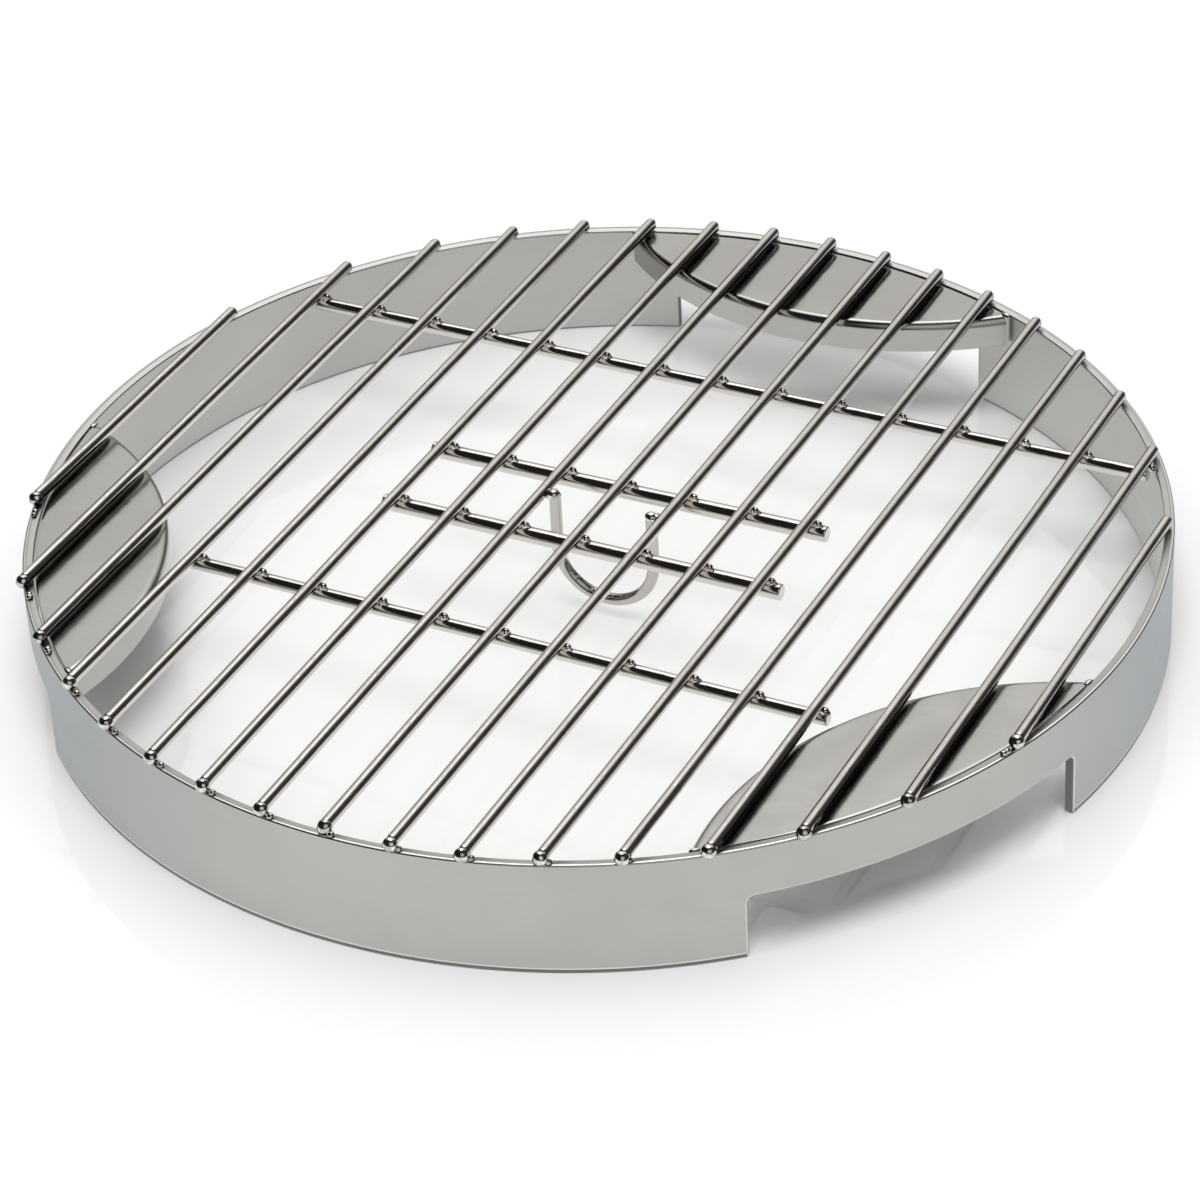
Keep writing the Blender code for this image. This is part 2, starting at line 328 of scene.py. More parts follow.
def bumped(tree, shader, layers):
    """Chain Bump nodes, one for each (height, distance)."""
    last = None
    for height, distance in layers:
        bump = new_node(tree, "ShaderNodeBump", Height=height, Distance=distance, Strength=1.0)
        if last:
            tree.links.new(last, bump.inputs["Normal"])
        last = bump.outputs["Normal"]
    tree.links.new(last, shader.inputs["Normal"])


def wire_metal(name, stretch, gloss=1.0, tone=1.0):
    """Plated wire: bright, with faint lines along it and a slightly uneven face."""
    if name in bpy.data.materials:
        return bpy.data.materials[name]
    finish = bpy.context.scene.grate_finish
    material, tree, shader = new_metal(name)
    lines = place_group(tree, drawn_lines_group(), Stretch=stretch)
    marks = place_group(tree, handling_group(), Size=90.0)
    darker, lighter = (0.93 * tone, 0.92 * tone, 0.92 * tone), 1.04 * tone
    mask = math_node(tree, "MULTIPLY", lines, marks)
    tree.links.new(two_tones(tree, mask, finish.wire_colour, darker, lighter), shader.inputs["Base Color"])
    rough = finish.wire_roughness * gloss
    tree.links.new(ranged(tree, marks, 0.0, 1.0, rough * 0.75, rough * 1.5), shader.inputs["Roughness"])
    bumped(tree, shader, [(marks, 0.05 * MM), (lines, 0.0006 * MM)])
    return material


def band_metal():
    """Brushed band: lines round the ring, dressed edges smoother with painted highlights, painted shade at
    the foot.
    """
    name = "brushed band steel"
    if name in bpy.data.materials:
        return bpy.data.materials[name]
    finish = bpy.context.scene.grate_finish
    material, tree, shader = new_metal(name)
    lines = place_group(tree, drawn_lines_group(), Stretch=(12.0, 12.0, 2600.0), Ring=2600.0)
    marks = place_group(tree, handling_group(), Size=22.0)
    polish_and_painted_light = new_node(tree, "ShaderNodeAttribute", attribute_name="polish_and_painted_light").outputs["Fac"]
    brushed = two_tones(tree, math_node(tree, "MULTIPLY", lines, marks), finish.band_colour, 0.95, 1.06)
    # Painted highlight: above 0 the colour brightens towards 1.7 times the band's colour
    dressed = place_group(
        tree, two_tones_group(), Mask=ranged(tree, polish_and_painted_light, 0.0, 1.0, smooth=False),
        First=brushed, Second=shade(finish.band_colour, (1.70, 1.68, 1.64)))
    # Painted shade: below 0 the colour darkens towards 0.35 of the band's colour
    with_painted_light = place_group(
        tree, two_tones_group(), Mask=ranged(tree, polish_and_painted_light, 0.0, -1.0, smooth=False),
        First=dressed, Second=shade(finish.band_colour, 0.35))
    tree.links.new(with_painted_light, shader.inputs["Base Color"])
    rough = finish.band_roughness
    satin = ranged(tree, lines, 0.0, 1.0, rough * 0.85, rough * 1.15, smooth=False)
    smoother = ranged(tree, polish_and_painted_light, 0.0, 1.0, 1.0, 0.4, smooth=False)
    tree.links.new(math_node(tree, "MULTIPLY", satin, smoother), shader.inputs["Roughness"])
    bumped(tree, shader, [(marks, 0.08 * MM), (lines, 0.0022 * MM)])
    return material


def shelf_metal():
    """Semi-bright rolled sheet with faint rolling lines and smudges."""
    name = "rolled shelf sheet"
    if name in bpy.data.materials:
        return bpy.data.materials[name]
    finish = bpy.context.scene.grate_finish
    material, tree, shader = new_metal(name)
    lines = place_group(tree, drawn_lines_group(), Stretch=(30.0, 2200.0, 2200.0))
    marks = place_group(tree, handling_group(), Size=16.0)
    mask = math_node(tree, "MULTIPLY", lines, marks)
    tree.links.new(two_tones(tree, mask, finish.shelf_colour, 0.96, 1.04), shader.inputs["Base Color"])
    rough = finish.shelf_roughness
    tree.links.new(ranged(tree, marks, 0.0, 1.0, rough * 0.8, rough * 1.25), shader.inputs["Roughness"])
    waves = place_group(tree, handling_group(), Size=70.0)
    bumped(tree, shader, [(marks, 0.10 * MM), (waves, 0.02 * MM)])
    return material


def weld_metal():
    """Plated weld nuggets: mirror bright, uneven, with a trace of heat colour."""
    name = "plated weld"
    if name in bpy.data.materials:
        return bpy.data.materials[name]
    finish = bpy.context.scene.grate_finish
    material, tree, shader = new_metal(name)
    marks = place_group(tree, handling_group(), Size=700.0)
    burnt = (0.55, 0.53, 0.52)
    tree.links.new(two_tones(tree, marks, finish.weld_colour, burnt, 1.08), shader.inputs["Base Color"])
    tree.links.new(ranged(tree, marks, 0.0, 1.0, 0.07, 0.04), shader.inputs["Roughness"])
    return material


# Meshes

def new_piece(name, shape, material, nodes=()):
    """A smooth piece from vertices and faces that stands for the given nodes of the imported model."""
    vertices, faces = shape
    mesh = bpy.data.meshes.new(name)
    mesh.from_pydata([tuple(v) for v in vertices], [], faces)
    return finish_piece(name, mesh, material, nodes)


def finish_piece(name, mesh, material, nodes=(), crease=math.radians(50)):
    """Clean a mesh, turn its faces outward and hang it on the grate."""
    shape = bmesh.new()
    shape.from_mesh(mesh)
    bmesh.ops.remove_doubles(shape, verts=shape.verts, dist=1e-7)
    bmesh.ops.dissolve_degenerate(shape, edges=shape.edges, dist=1e-7)
    bmesh.ops.recalc_face_normals(shape, faces=shape.faces)
    if shape.calc_volume(signed=True) < 0.0:
        bmesh.ops.reverse_faces(shape, faces=shape.faces)
    open_edges = sum(1 for edge in shape.edges if len(edge.link_faces) != 2)
    shape.to_mesh(mesh)
    shape.free()
    if open_edges:
        raise RuntimeError(f"{name} has {open_edges} open edges")
    mesh.shade_smooth()
    mesh.set_sharp_from_angle(angle=crease)
    mesh.materials.clear()
    mesh.materials.append(material)
    piece = bpy.data.objects.new(name, mesh)
    bpy.context.scene.collection.objects.link(piece)
    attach(piece, BODY)
    if nodes:
        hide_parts(*nodes)
    return piece


def grid_faces(columns, rows, closed):
    """Quads between neighbouring columns of vertices, each of which closes on itself."""
    faces = []
    for column in range(columns if closed else columns - 1):
        after = (column + 1) % columns
        for row in range(rows):
            up = (row + 1) % rows
            faces.append((column * rows + row, after * rows + row, after * rows + up, column * rows + up))
    return faces


def tube(centres, tangents, radii, reference, sides):
    """Vertices and faces of a round bar along a line, closed at both ends."""
    vertices = []
    for centre, tangent, radius in zip(centres, tangents, radii):
        first = (reference - tangent * reference.dot(tangent)).normalized()
        second = tangent.cross(first)
        for side in range(sides):
            angle = math.tau * side / sides
            vertices.append(centre + radius * (math.cos(angle) * first + math.sin(angle) * second))
    faces = grid_faces(len(centres), sides, closed=False)
    for ring in (0, len(centres) - 1):
        tip = len(vertices)
        vertices.append(centres[ring])
        faces += [(ring * sides + side, ring * sides + (side + 1) % sides, tip) for side in range(sides)]
    return vertices, faces


def nose(radius, rounding, steps=7):
    """Distances from a bar's end and radii over its rounded nose, from the tip inward."""
    shape = [(0.0, (radius - rounding) * share) for share in (0.45, 0.9)]
    for step in range(steps + 1):
        angle = math.pi / 2 * step / steps
        shape.append((rounding * (1 - math.cos(angle)), radius - rounding * (1 - math.sin(angle))))
    shape.append((rounding * 1.35, radius))
    return shape


def bar_between(start, end, radius, rounding, sizes, seed):
    """A drawn bar from start to end that strays a little from the straight line, but never upward."""
    length = (end - start).length
    tangent = (end - start) / length
    stretches, settled = 60, 12 * MM
    long_waves, short_waves = 22.0, 90.0
    tip = nose(radius, rounding)
    clear = tip[-1][0] + MM
    body = [length * step / stretches for step in range(1, stretches)]
    stations = tip + [(d, radius) for d in body if clear < d < length - clear]
    stations += [(length - d, r) for d, r in reversed(tip)]
    centres = []
    noise.seed_set(seed)
    for distance, own_radius in stations:
        fade = max(0.0, min(1.0, distance / settled, (length - distance) / settled))
        stray = noise.noise_vector(Vector((distance * long_waves, seed * 7.3, 0.5)))
        stray += 0.4 * noise.noise_vector(Vector((distance * short_waves, seed * 3.1, 4.5)))
        stray.z = -abs(stray.z)
        centres.append(start + tangent * distance + stray * sizes.wander * fade)
    radii = [own_radius for distance, own_radius in stations]
    return tube(centres, [tangent] * len(centres), radii, UP, sizes.wire_sides)


def notch_directions(sizes):
    """Directions of the three notches, far one first, seen from above."""
    return [sizes.notch_direction + math.tau * index / len(SHELVES) for index in range(len(SHELVES))]


def level_points(start, length, z):
    """Points of the lower edge between the ends of a stretch where it runs level, about a degree apart."""
    count = round(length / (math.radians(1.0) * RING_RADIUS))
    places = [start + length * step / count for step in range(1, count)]
    return [(s, z, 0.0, 1.0, s) for s in places]


def lower_edge(sizes):
    """The band's lower edge as points (s, z, into the metal, place at the top edge), s along the ring.

    The places at the top edge stay evenly spread while the lower edge turns up into a notch.
    """
    height, corner, tip = sizes.notch_height, sizes.notch_corner, 0.7 * MM
    blend = 12 * MM
    wall_top = height - corner
    # One side of a notch: level edge, rounded tip, wall, rounded corner, level roof
    side = [(-blend, 0.0, 0.0, 1.0, -blend)]
    for share in (0.35, 0.65, 0.85):
        side.append((-blend * (1 - share), 0.0, 0.0, 1.0, -blend * (1 - 0.3 * share)))
    for step in range(6):
        angle = math.pi / 2 * step / 5
        side.append((
            -tip + tip * math.sin(angle), tip - tip * math.cos(angle),
            -math.sin(angle), math.cos(angle), -blend * (0.68 - 0.02 * step)))
    for share in (0.06, 0.25, 0.5, 0.75, 0.94):
        z = tip + (wall_top - tip) * share
        side.append((0.0, z, -1.0, 0.0, -blend * (0.56 - 0.46 * share)))
    for step in range(9):
        angle = math.pi / 2 * step / 8
        side.append((
            corner * (1 - math.cos(angle)), wall_top + corner * math.sin(angle),
            -math.cos(angle), math.sin(angle), -blend * 0.10 * (1 - step / 8) + corner * step / 8))
    for share in (0.35, 0.7, 1.0):
        s = corner + (blend - corner) * share
        side.append((s, height, 0.0, 1.0, s))

    points = []
    half = sizes.notch_angle / 2 * RING_RADIUS
    plain = math.tau * RING_RADIUS / len(SHELVES) - 2 * (half + blend)
    for direction in notch_directions(sizes):
        left, right = direction * RING_RADIUS - half, direction * RING_RADIUS + half
        points += [(left + s, z, ns, nz, left + top) for s, z, ns, nz, top in side]
        points += level_points(left + blend, 2 * (half - blend), height)
        points += [(right - s, z, -ns, nz, right - top) for s, z, ns, nz, top in reversed(side)]
        points += level_points(right + blend, plain, 0.0)
    return points


def band_mesh(sizes):
    """Vertices, faces and polish with painted light of the band: a rounded flat section carried round the
    ring.

    Polish runs from -1, painted shade, through 0, brushed, to 1, a dressed line that is smoother
    and painted bright as a highlight.
    """
    edge, foot = sizes.band_edge, sizes.band_foot
    outer, inner, top = RING_RADIUS, INNER_RADIUS, BAND_HEIGHT
    # Rows laid this near to a rounding keep its shading from spreading over the flats
    near = 0.25 * MM
    chamfer, drop = 0.25 * MM, 0.04 * MM
    slope, fall = 1.30 * MM, 0.26 * MM
    # Where the band stands on the floor its face ends in a painted line of shade at the foot and a painted
    # highlight line above it
    painted_foot_lines = ((0.40 * MM, -1.0), (0.55 * MM, 1.0), (0.75 * MM, 0.6), (0.95 * MM, 0.0))
    levels = (0.12, 0.24, 0.36, 0.48, 0.6, 0.72, 0.84)
    quarter = [math.pi / 2 * step / 5 for step in range(1, 5)]

    outer_start, inner_start = top - drop - edge, top - fall - edge
    # Over the top: the roundings are painted slightly brighter, the chamfer at the outer edge carries a
    # painted highlight and the flat top is painted darker
    over = [(outer_start, outer, 0.1)]
    over += [
        (outer_start + edge * math.sin(a), outer - edge + edge * math.cos(a), 0.2) for a in quarter]
    over += [
        (top - drop, outer - edge, 0.5), (top, outer - edge - chamfer, 0.4),
        (top, outer - edge - chamfer - 0.1 * MM, -0.4), (top, inner + edge + slope, -0.4),
        (top - 0.1 * fall, inner + edge + 0.9 * slope, 0.0), (top - fall, inner + edge, 0.0)]
    over += [
        (inner_start + edge * math.cos(a), inner + edge - edge * math.sin(a), 0.2) for a in quarter]
    over.append((inner_start, inner, 0.1))

    # Under the band: painted shade on the inner rounding, the underside and the lower half of the outer
    # rounding, a painted highlight on its upper half
    under = [(foot * (1 - math.sin(a)), inner + foot * (1 - math.cos(a)), -1.0) for a in quarter]
    for radius in (inner + foot, inner + foot + near, outer - foot - near, outer - foot):
        under.append((0.0, radius, -1.0))
    for angle in quarter:
        gloss = -1.0 if angle < math.radians(45) else 0.5
        under.append((foot * (1 - math.cos(angle)), outer - foot * (1 - math.sin(angle)), gloss))

    vertices, polish_and_painted_light, rows = [], [], 0
    for s, z, ns, nz, top_s in lower_edge(sizes):
        start, end = Vector((s + ns * foot, z + nz * foot)), Vector((top_s, top - edge))
        span = (end - start).length
        # Only where the band stands on the floor does the face get the painted foot lines and the whole
        # underside painted shade
        standing = z < 0.1 * MM
        shares = [(0.0, -1.0)] + [(height / span, gloss) for height, gloss in painted_foot_lines]
        shares += [(level, 0.0) for level in levels] + [(1 - near / span, 0.0)]
        face = [(start.lerp(end, share), gloss) for share, gloss in shares]
        column = [(spot.x, spot.y, outer, gloss if standing else 0.0) for spot, gloss in face]
        column += [(top_s, height, radius, gloss) for height, radius, gloss in over]
        column += [(spot.x, spot.y, inner, 0.0) for spot, gloss in reversed(face)]
        column += [
            (s + ns * lift, z + nz * lift, radius, -1.0 if standing else gloss)
            for lift, radius, gloss in under]
        rows = len(column)
        for along, height, radius, gloss in column:
            angle = along / RING_RADIUS
            vertices.append((radius * math.cos(angle), radius * math.sin(angle), height))
            polish_and_painted_light.append(gloss)
    return vertices, grid_faces(len(vertices) // rows, rows, closed=True), polish_and_painted_light


def bulge_middle(sizes):
    """Distance from the ring's middle to the middle of a shelf's bulging edge."""
    return INNER_RADIUS - sizes.shelf_reach + sizes.shelf_radius


def shelf_mesh(sizes, direction):
    """Vertices and faces of a dished shelf: plate, bend and flange, cut off along the band."""
    rim, sheet, away = sizes.shelf_radius, sizes.sheet, bulge_middle(sizes)
    inside_bend = 0.9 * MM
    bend = inside_bend + sheet
    lip = 0.35 * MM
    top, low = SHELF_TOP + sizes.shelf_rise, SHELF_LIP + sizes.shelf_rise
    turns = [math.pi / 2 * step / 8 for step in range(9)]

    outside = [(rim - sheet / 2, low), (rim - lip, low)]
    outside += [(rim - lip * (1 - math.sin(a)), low + lip * (1 - math.cos(a))) for a in turns[2::2]]
    outside += [(rim, low + lip * 1.6), (rim, top - bend - 1.2 * MM), (rim, top - bend - 0.2 * MM)]
    outside += [(rim - bend * (1 - math.cos(a)), top - bend * (1 - math.sin(a))) for a in turns]
    inside = [
        (rim - bend + inside_bend * math.sin(a), top - bend + inside_bend * math.cos(a)) for a in turns]
    inside += [(rim - sheet, top - bend - 0.2 * MM), (rim - sheet, low + lip * 1.6)]
    inside += [(rim - sheet + lip * (1 - math.cos(a)), low + lip * (1 - math.sin(a))) for a in turns[::2]]

    plate = rim - bend
    last = plate - 0.15 * MM
    farthest = math.acos((away ** 2 + last ** 2 - SHELF_LIMIT ** 2) / (2 * away * last))
    vertices, rows, columns = [], 0, 121
    for column in range(columns):
        share = -1 + 2 * column / (columns - 1)
        turn = farthest * math.sin(math.pi / 2 * share)
        cut = away * math.cos(turn) - math.sqrt(SHELF_LIMIT ** 2 - (away * math.sin(turn)) ** 2)
        profile = list(outside)
        profile += [(plate + (cut - plate) * part, top) for part in (0.02, 0.2, 0.4, 0.6, 0.8, 0.97, 0.98)]
        profile += [(cut, top - 0.1 * MM), (cut, top - sheet + 0.1 * MM)]
        profile += [(plate + (cut - plate) * part, top - sheet) for part in (0.98, 0.7, 0.35, 0.02)]
        profile += inside
        rows = len(profile)
        for reach, height in profile:
            x = away - reach * math.cos(turn)
            y = reach * math.sin(turn)
            vertices.append((
                x * math.cos(direction) - y * math.sin(direction),
                x * math.sin(direction) + y * math.cos(direction), height))
    faces = grid_faces(columns, rows, closed=False)
    for column in (0, columns - 1):
        faces.append(tuple(range(column * rows, (column + 1) * rows)))
    return vertices, faces


def loop_line(low, high, radius):
    """Centre line and tangents of the wire loop, down one leg and up the other."""
    side = (high.x - low.x) / 2 - radius
    x, y = (low.x + high.x) / 2, (low.y + high.y) / 2
    bottom = low.z + radius
    middle = Vector((x, y, bottom + side))
    top = high.z
    centres, tangents = [], []
    leg = [top - (top - middle.z) * step / 10 for step in range(1, 10)]
    for z in leg:
        centres.append(Vector((x - side, y, z)))
        tangents.append(-UP)
    steps = 48
    for step in range(steps + 1):
        angle = math.pi + math.pi * step / steps
        centres.append(middle + side * Vector((math.cos(angle), 0.0, math.sin(angle))))
        tangents.append(Vector((-math.sin(angle), 0.0, math.cos(angle))))
    for z in reversed(leg):
        centres.append(Vector((x + side, y, z)))
        tangents.append(UP)
    return centres, tangents


def loop_mesh(low, high, sides):
    """Vertices and faces of the wire loop with its two rounded leg ends."""
    radius = (high.y - low.y) / 2
    centres, tangents = loop_line(low, high, radius)
    radii = [radius] * len(centres)
    tip = nose(radius, 1.0 * MM)
    first = Vector((centres[0].x, centres[0].y, high.z))
    last = Vector((centres[-1].x, centres[-1].y, high.z))
    centres = [first - UP * d for d, r in tip] + centres + [last - UP * d for d, r in reversed(tip)]
    tangents = [-UP] * len(tip) + tangents + [UP] * len(tip)
    radii = [r for d, r in tip] + radii + [r for d, r in reversed(tip)]
    return tube(centres, tangents, radii, Vector((0.0, 1.0, 0.0)), sides)


# Weld nuggets

def lump(shape, centre, size, seed, roll=0.0):
    """Add one uneven lobe of molten metal to a mesh."""
    made = bmesh.ops.create_icosphere(shape, subdivisions=3, radius=1.0)
    turn = Matrix.Rotation(roll, 3, "Z")
    for vertex in made["verts"]:
        swell = 1.0 + 0.06 * noise.noise(vertex.co * 1.3 + Vector((seed * 5.1, seed * 2.7, seed)))
        vertex.co = centre + turn @ Vector([c * s for c, s in zip(vertex.co * swell, size)])


def nuggets(name, lobes):
    """Melt groups of lobes into weld nuggets, one piece for the whole group."""
    shape = bmesh.new()
    for centre, size, seed, roll in lobes:
        lump(shape, centre, size, seed, roll)
    mesh = bpy.data.meshes.new(name)
    shape.to_mesh(mesh)
    shape.free()
    rough = bpy.data.objects.new(name + "_rough", mesh)
    bpy.context.scene.collection.objects.link(rough)
    melt = rough.modifiers.new("melt", "REMESH")
    melt.mode = "VOXEL"
    melt.voxel_size = 0.13 * MM
    settle = rough.modifiers.new("settle", "SMOOTH")
    settle.factor = 0.5
    settle.iterations = 8
    graph = bpy.context.evaluated_depsgraph_get()
    melted = bpy.data.meshes.new_from_object(rough.evaluated_get(graph))
    melted.name = name
    bpy.data.objects.remove(rough)
    bpy.data.meshes.remove(mesh)
    return finish_piece(name, melted, weld_metal(), crease=math.pi)


def rod_axis(name, along):
    """Ends of a straight rod's axis and its radius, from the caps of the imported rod."""
    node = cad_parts[name]
    corners = [node.matrix_world @ vertex.co for vertex in node.data.vertices]
    low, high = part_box(name)
    ends = []
    for extreme in (low[along], high[along]):
        cap = [corner for corner in corners if abs(corner[along] - extreme) < 0.1 * MM]
        ends.append(Vector([(min(values) + max(values)) / 2 for values in zip(*cap)]))
    return ends[0], ends[1], (high.z - low.z) / 2


def rod_ends(number, node):
    """Near and far end of a top rod's axis and its radius, with the near end run out over the band."""
    near, far, radius = rod_axis(node, 1)
    return near + (near - far).normalized() * NEAR_REACH[number - 1] * MM, far, radius


# Operators

def heading(azimuth, elevation):
    """Direction turned from the far side to the right by one angle and raised by another."""
    flat = math.cos(elevation)
    return Vector((math.sin(azimuth) * flat, math.cos(azimuth) * flat, math.sin(elevation)))


class GRATE_OT_stage(bpy.types.Operator):
    """Floor, light and camera of the studio"""
    bl_idname = "grate.stage"
    bl_label = "Studio"

    def execute(self, context):
        scene = context.scene
        scene.view_settings.view_transform = "Standard"
        for make in (self.make_floor, self.make_world, self.make_lamp, self.make_camera):
            make(scene, scene.grate_studio)
        return {"FINISHED"}

    def make_floor(self, scene, studio):
        """A wide pale floor just under the grate."""
        mesh = bpy.data.meshes.new("floor")
        reach, drop = 6.0, 0.05 * MM
        corners = [(-reach, -reach), (reach, -reach), (reach, reach), (-reach, reach)]
        mesh.from_pydata([(x, y, -drop) for x, y in corners], [], [(0, 1, 2, 3)])
        material = bpy.data.materials.new("pale floor")
        material.use_nodes = True
        shader = material.node_tree.nodes["Principled BSDF"]
        shader.inputs["Base Color"].default_value = (*studio.floor_colour, 1.0)
        shader.inputs["Roughness"].default_value = 0.04
        shader.inputs["IOR"].default_value = 1.5
        self.whiten(material.node_tree, shader, studio)
        mesh.materials.append(material)
        floor = bpy.data.objects.new("floor", mesh)
        scene.collection.objects.link(floor)

    def whiten(self, tree, shader, studio):
        """Lift the floor towards white, a glow of painted light, where the camera or a mirroring piece sees
        it.

        The camera sees it lifted between the rods and in the strip behind the far shelf, painted light
        over the shade that falls there.  What the metal mirrors turns bluish on the open floor round
        the ring, a painted reflection.
        """
        place = new_node(tree, "ShaderNodeTexCoord").outputs["Object"]
        rays = new_node(tree, "ShaderNodeLightPath").outputs
        radius = vector_math(tree, "LENGTH", place)
        to_camera = (math.sin(studio.azimuth), -math.cos(studio.azimuth), 0.0)
        front = vector_math(tree, "DOT_PRODUCT", place, to_camera)
        # Painted light: lifts the shade inside the ring and in the strip behind the far shelf
        painted_light_between_rods = ranged(tree, radius, 0.100, 0.132, studio.whiten, 0.03)
        painted_light_far_strip = math_node(
            tree, "MULTIPLY", ranged(tree, front, -0.125, -0.100, 0.27, 0.0),
            ranged(tree, radius, 0.158, 0.166, 1.0, 0.0))
        seen = math_node(
            tree, "MULTIPLY", rays["Is Camera Ray"], math_node(tree, "MAXIMUM", painted_light_between_rods, painted_light_far_strip))
        mirrored = math_node(tree, "MULTIPLY", rays["Is Glossy Ray"], studio.mirror_whiten)
        open_floor = math_node(
            tree, "MULTIPLY", ranged(tree, front, 0.03, 0.15, 1.0, 0.0), ranged(tree, radius, 0.155, 0.165))
        # Painted reflection: bluish where the open floor round the ring is mirrored
        painted_reflection_tint = mixed(tree, open_floor, (1.0, 1.0, 0.985, 1.0), (0.62, 0.69, 0.76, 1.0))
        white = new_node(tree, "ShaderNodeEmission", Color=painted_reflection_tint, Strength=1.0)
        mix = new_node(tree, "ShaderNodeMixShader", Fac=math_node(tree, "ADD", seen, mirrored))
        tree.links.new(shader.outputs[0], mix.inputs[1])
        tree.links.new(white.outputs[0], mix.inputs[2])
        tree.links.new(mix.outputs[0], tree.nodes["Material Output"].inputs["Surface"])

    def make_world(self, scene, studio):
        """White to the camera, plain fill for the floor, and light panels for the metal to mirror."""
        world = bpy.data.worlds.new("studio")
        world.use_nodes = True
        world.cycles.sampling_method = "NONE"
        scene.world = world
        tree = world.node_tree
        tree.nodes.clear()
        direction = new_node(tree, "ShaderNodeTexCoord").outputs["Generated"]
        # Degrees to the right of the far side, height, full and faded width, then strength and colour
        panels = (
            (-23.0, 36.0, 15.0, 44.0, studio.panel, (1.0, 0.985, 0.95)),
            (135.0, 40.0, 16.0, 40.0, studio.panel * 0.75, (0.96, 0.98, 1.0)),
            (20.0, 20.0, 10.0, 90.0, 0.032, (1.0, 1.0, 1.0)),
            (-25.0, 62.0, 12.0, 24.0, 1.6, (1.0, 1.0, 1.0)),
        )
        glow = (0.016, 0.016, 0.018)
        for azimuth, elevation, full, faded, strength, colour in panels:
            towards = heading(math.radians(azimuth), math.radians(elevation))
            angle = math_node(tree, "ARCCOSINE", vector_math(tree, "DOT_PRODUCT", direction, towards))
            share = ranged(tree, angle, math.radians(full), math.radians(faded), 1.0, 0.0)
            light = vector_math(tree, "SCALE", [part * strength for part in colour], share)
            glow = vector_math(tree, "ADD", glow, light)
        height = new_node(tree, "ShaderNodeSeparateXYZ", Vector=direction).outputs["Z"]
        overhead = vector_math(
            tree, "SCALE", [studio.fill] * 3, ranged(tree, height, 0.32, 0.95, 0.02, 1.0))
        rays = new_node(tree, "ShaderNodeLightPath").outputs
        # A mirror image inside another mirror image stays dark
        first_image = ranged(tree, rays["Ray Depth"], 2.0, 3.0, 1.0, 0.07)
        mirrored = vector_math(tree, "SCALE", glow, first_image)
        unseen = mixed(tree, rays["Is Glossy Ray"], overhead, mirrored)
        colour = mixed(tree, rays["Is Camera Ray"], unseen, (1.0, 1.0, 1.0, 1.0))
        background = new_node(tree, "ShaderNodeBackground", Color=colour)
        result = new_node(tree, "ShaderNodeOutputWorld")
        tree.links.new(background.outputs[0], result.inputs["Surface"])

    def make_lamp(self, scene, studio):
        """A soft lamp above the camera, which leaves the floor under the shelves dark."""
        lamp = bpy.data.lights.new("soft_key", "SUN")
        lamp.energy = studio.key
        lamp.angle = math.radians(30.0)
        key = bpy.data.objects.new("soft_key", lamp)
        towards = heading(math.radians(150.0), math.radians(76.0))
        key.rotation_euler = towards.to_track_quat("Z", "Y").to_euler()
        key.visible_glossy = False
        scene.collection.objects.link(key)

    def make_camera(self, scene, studio):
        """Camera at the photograph's angle."""
        data = bpy.data.cameras.new("camera")
        data.lens = studio.lens
        data.sensor_width = 36.0
        data.clip_start = 0.05
        data.clip_end = 30.0
        camera = bpy.data.objects.new("camera", data)
        azimuth, roll = studio.azimuth, studio.roll
        back = heading(math.pi - azimuth, studio.elevation)
        flat_right = Vector((math.cos(azimuth), math.sin(azimuth), 0.0))
        flat_up = back.cross(flat_right)
        right = math.cos(roll) * flat_right + math.sin(roll) * flat_up
        up = math.cos(roll) * flat_up - math.sin(roll) * flat_right
        aim = Vector((-3.527 * MM, 5.771 * MM, 0.0))
        turn = Matrix((right, up, back)).transposed().to_4x4()
        camera.matrix_world = Matrix.Translation(aim + studio.distance * back) @ turn
        scene.collection.objects.link(camera)
        scene.camera = camera


class GRATE_OT_band(bpy.types.Operator):
    """The rolled band with its dressed edges and three notches"""
    bl_idname = "grate.band"
    bl_label = "Rolled band"

    def execute(self, context):
        vertices, faces, polish_and_painted_light = band_mesh(context.scene.grate_sizes)
        mesh = bpy.data.meshes.new("rolled_band")
        mesh.from_pydata(vertices, [], faces)
        gloss = mesh.attributes.new("polish_and_painted_light", "FLOAT", "POINT")
        gloss.data.foreach_set("value", polish_and_painted_light)
        finish_piece("rolled_band", mesh, band_metal(), ["rim_band"])
        return {"FINISHED"}


class GRATE_OT_top_rods(bpy.types.Operator):
    """The parallel rods that food lies on"""
    bl_idname = "grate.top_rods"
    bl_label = "Top rods"

    def execute(self, context):
        sizes = context.scene.grate_sizes
        metal = wire_metal("plated rod wire", (1500.0, 30.0, 1500.0))
        for number, node in enumerate(TOP_RODS, 1):
            near, far, radius = rod_ends(number, node)
            near += (far - near).normalized() * BALL_COVER
            bar = bar_between(near, far, radius, sizes.rod_nose, sizes, number)
            new_piece(f"top_rod_{number:02d}", bar, metal, [node])
        return {"FINISHED"}


class GRATE_OT_cross_rods(bpy.types.Operator):
    """The four heavier rods under the top rods"""
    bl_idname = "grate.cross_rods"
    bl_label = "Cross rods"

    def execute(self, context):
        sizes = context.scene.grate_sizes
        metal = wire_metal("plated cross wire", (30.0, 1500.0, 1500.0))
        sawn_end, first_seed = 0.45 * MM, 41
        for seed, node in enumerate(CROSS_RODS, first_seed):
            left, right, radius = rod_axis(node, 0)
            bar = bar_between(left, right, radius, sawn_end, sizes, seed)
            new_piece(node.replace("cross_rod", "cross_bar"), bar, metal, [node])
        return {"FINISHED"}


